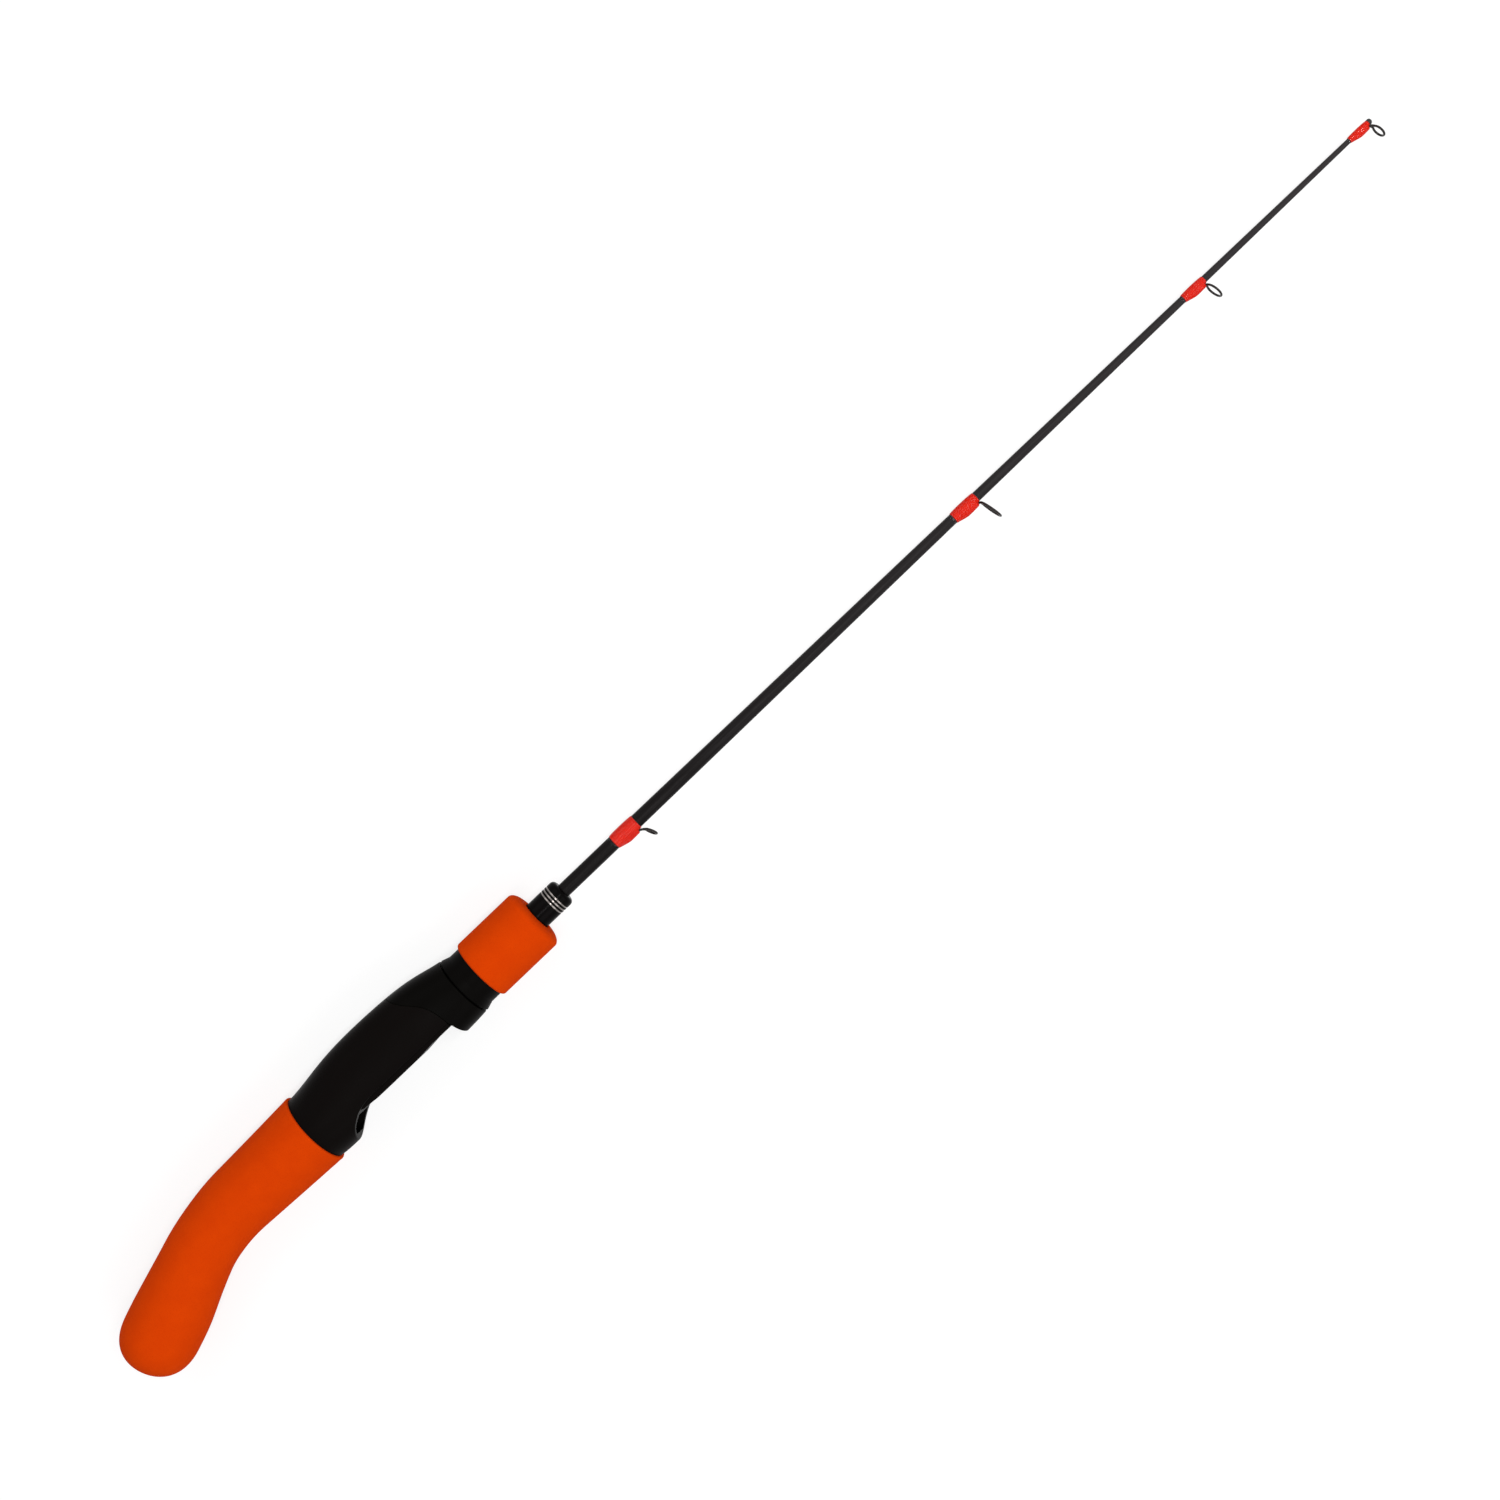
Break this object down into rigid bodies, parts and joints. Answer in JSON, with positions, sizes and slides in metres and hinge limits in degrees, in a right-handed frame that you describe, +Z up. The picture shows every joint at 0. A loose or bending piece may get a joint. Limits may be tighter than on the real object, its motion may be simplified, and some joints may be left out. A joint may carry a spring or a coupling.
{
  "type": "ice fishing rod",
  "caption": "Short ice fishing rod with a bent foam grip, a spinning reel seat with screw-down moving hood, a tapered blank and wrapped wire line guides.",
  "frame": {"origin": "middle of the flat foot bed of the reel seat, on the blank's middle plane; the blank's axis runs 7 mm above it along +Y", "axes": "+X along the blank towards the tip, -Y out of the foot bed to the reel side, +Z up from the side that the rod lies on"},
  "size_m": [0.5976, 0.0461, 0.028],
  "materials": {
    "seat_plastic": "matte black moulded plastic",
    "nut_plastic": "matte black moulded plastic",
    "orange_foam": "orange closed-cell EVA foam",
    "core_tube": "dark fibre tube",
    "blank_satin": "satin black painted fibre",
    "collar_black": "gloss black tube with bright turned rings",
    "arbor_fibre": "raw fibre arbor",
    "cap_black": "dark glossy cap",
    "guide_wire": "black coated steel wire",
    "red_thread": "red nylon winding thread",
    "clear_coat": "clear gloss winding varnish"
  },
  "bodies": {
    "rod": {"seat_body": "seat_plastic", "rear_grip": "orange_foam", "grip_core": "core_tube", "blank": "blank_satin", "collar": "collar_black", "rear_arbor": "arbor_fibre", "front_arbor": "arbor_fibre", "tip_cap": "cap_black", "hook_keeper": "guide_wire", "keeper_wrap": "red_thread", "keeper_coat": "clear_coat", "guide_1": "guide_wire", "wrap_1": "red_thread", "coat_1": "clear_coat", "guide_2": "guide_wire", "wrap_2": "red_thread", "coat_2": "clear_coat", "tip_guide": "guide_wire", "tip_wrap": "red_thread", "tip_coat": "clear_coat"},
    "hood": {"seat_hood": "seat_plastic"},
    "nut": {"hood_nut": "nut_plastic", "foregrip": "orange_foam"}
  },
  "joints": [
    {"name": "hood_slide", "type": "slide", "parent": "rod", "child": "hood", "axis": [1, 0, 0], "range_m": [0, 0.01]},
    {"name": "foregrip_spin", "type": "hinge", "parent": "hood", "child": "nut", "pos_m": [0, 0.00735, 0], "axis": [1, 0, 0], "range_deg": [0, 2410]}
  ],
  "couplings": [
    {"joint": "foregrip_spin", "follows": "hood_slide", "rad_per_m": 4188.8}
  ]
}
